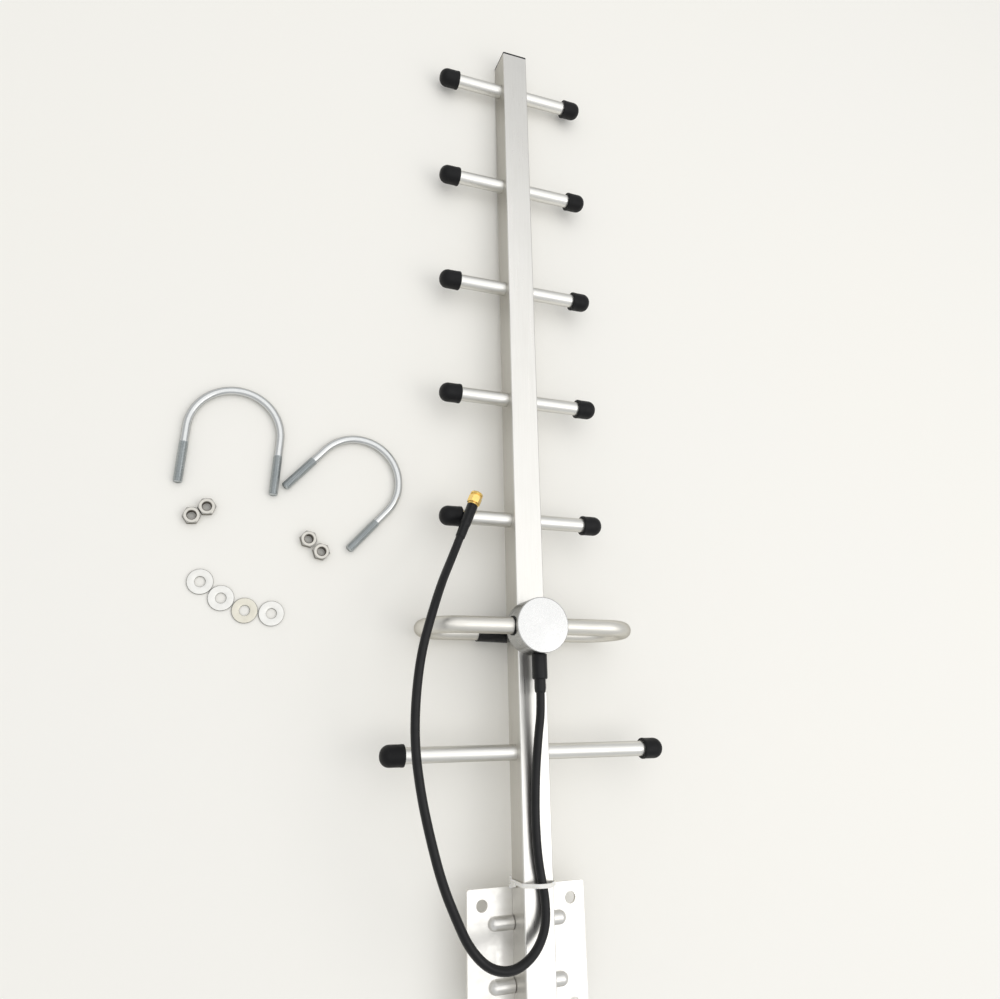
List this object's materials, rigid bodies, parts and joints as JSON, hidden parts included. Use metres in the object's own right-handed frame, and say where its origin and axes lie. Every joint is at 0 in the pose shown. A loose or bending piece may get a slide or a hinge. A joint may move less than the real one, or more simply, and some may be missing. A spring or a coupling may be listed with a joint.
{
  "type": "yagi_antenna",
  "caption": "Yagi antenna: square aluminium boom, capped rod elements, folded dipole with a round feed housing, sheet mast bracket with loose U-bolt hardware, and a short coaxial lead.",
  "frame": {"origin": "Middle of the bracket's four bolt holes, on the back face of the plate, where it meets the mast.", "axes": "+Y runs along the boom to its tip, which is the way the antenna points; +X runs along the elements, to the right in the picture; +Z runs out of the boom's front face, through the feed housing. The picture looks down on the front with +Y up the picture."},
  "size_m": [0.3296, 0.711, 0.0664],
  "materials": {
    "boom_aluminium": "satin anodised extrusion, fine lines along its length",
    "element_aluminium": "satin drawn tube",
    "dipole_aluminium": "satin drawn tube, slightly duller at the bends",
    "housing_metal": "bright, finely turned",
    "bracket_sheet": "bright zinc-plated sheet",
    "zinc_rod": "zinc-plated rod, threads a bluish grey",
    "nut_steel": "bright plated",
    "washer_steel": "dull zinc plated",
    "small_screw_steel": "plain plated screw",
    "tinned_brass": "tin-plated stamping",
    "copper_lead": "bare copper wire",
    "gold": "polished gold plating",
    "cap_rubber": "matte moulded rubber",
    "black_plastic": "matte moulded plastic",
    "insulator_plastic": "natural white plastic",
    "cable_jacket": "satin black cable jacket",
    "white_nylon": "natural nylon"
  },
  "bodies": {
    "antenna": {"boom_tube": "boom_aluminium", "boom_end_plug_front": "black_plastic", "boom_end_plug_rear": "black_plastic", "reflector_rod": "element_aluminium", "reflector_cap_left": "cap_rubber", "reflector_cap_right": "cap_rubber", "director_1_rod": "element_aluminium", "director_1_cap_left": "cap_rubber", "director_1_cap_right": "cap_rubber", "director_2_rod": "element_aluminium", "director_2_cap_left": "cap_rubber", "director_2_cap_right": "cap_rubber", "director_3_rod": "element_aluminium", "director_3_cap_left": "cap_rubber", "director_3_cap_right": "cap_rubber", "director_4_rod": "element_aluminium", "director_4_cap_left": "cap_rubber", "director_4_cap_right": "cap_rubber", "director_5_rod": "element_aluminium", "director_5_cap_left": "cap_rubber", "director_5_cap_right": "cap_rubber", "element_screws": "small_screw_steel", "dipole_loop": "dipole_aluminium", "dipole_saddle": "black_plastic", "feed_housing": "housing_metal", "feed_base": "black_plastic", "feed_base_screws": "small_screw_steel", "feed_insulator": "insulator_plastic", "feed_lugs": "tinned_brass", "feed_terminal_screws": "small_screw_steel", "coax_centre_lead": "copper_lead", "coax_braid_lead": "copper_lead", "dipole_grommet_left": "cap_rubber", "dipole_grommet_right": "cap_rubber", "cable_exit_sleeve": "cable_jacket", "coax_tail": "cable_jacket", "cable_exit_boot": "cable_jacket", "coax_cable": "cable_jacket", "cable_tie": "white_nylon", "plug_shrink_sleeve": "cable_jacket", "plug_body": "gold", "plug_dielectric": "insulator_plastic", "plug_pin": "gold", "bracket_plate": "bracket_sheet", "bracket_screws": "small_screw_steel"},
    "coupling_nut": {"plug_coupling_nut": "gold"},
    "u_bolt_1_body": {"u_bolt_1": "zinc_rod"},
    "u_bolt_2_body": {"u_bolt_2": "zinc_rod"},
    "hex_nuts_body": {"hex_nuts": "nut_steel"},
    "flat_washers_body": {"flat_washers": "washer_steel"}
  },
  "joints": [
    {"name": "coupling_nut_turn", "type": "hinge", "parent": "antenna", "child": "coupling_nut", "pos_m": [-0.04023, 0.28263, 0.02164], "axis": [0.3961, 0.9054, -0.1528], "continuous": true},
    {"name": "u_bolt_1_lift", "type": "slide", "parent": "antenna", "child": "u_bolt_1_body", "axis": [0, 0, 1], "range_m": [0, 0.05]},
    {"name": "u_bolt_2_lift", "type": "slide", "parent": "antenna", "child": "u_bolt_2_body", "axis": [0, 0, 1], "range_m": [0, 0.05]},
    {"name": "hex_nuts_lift", "type": "slide", "parent": "antenna", "child": "hex_nuts_body", "axis": [0, 0, 1], "range_m": [0, 0.05]},
    {"name": "flat_washers_lift", "type": "slide", "parent": "antenna", "child": "flat_washers_body", "axis": [0, 0, 1], "range_m": [0, 0.05]}
  ]
}
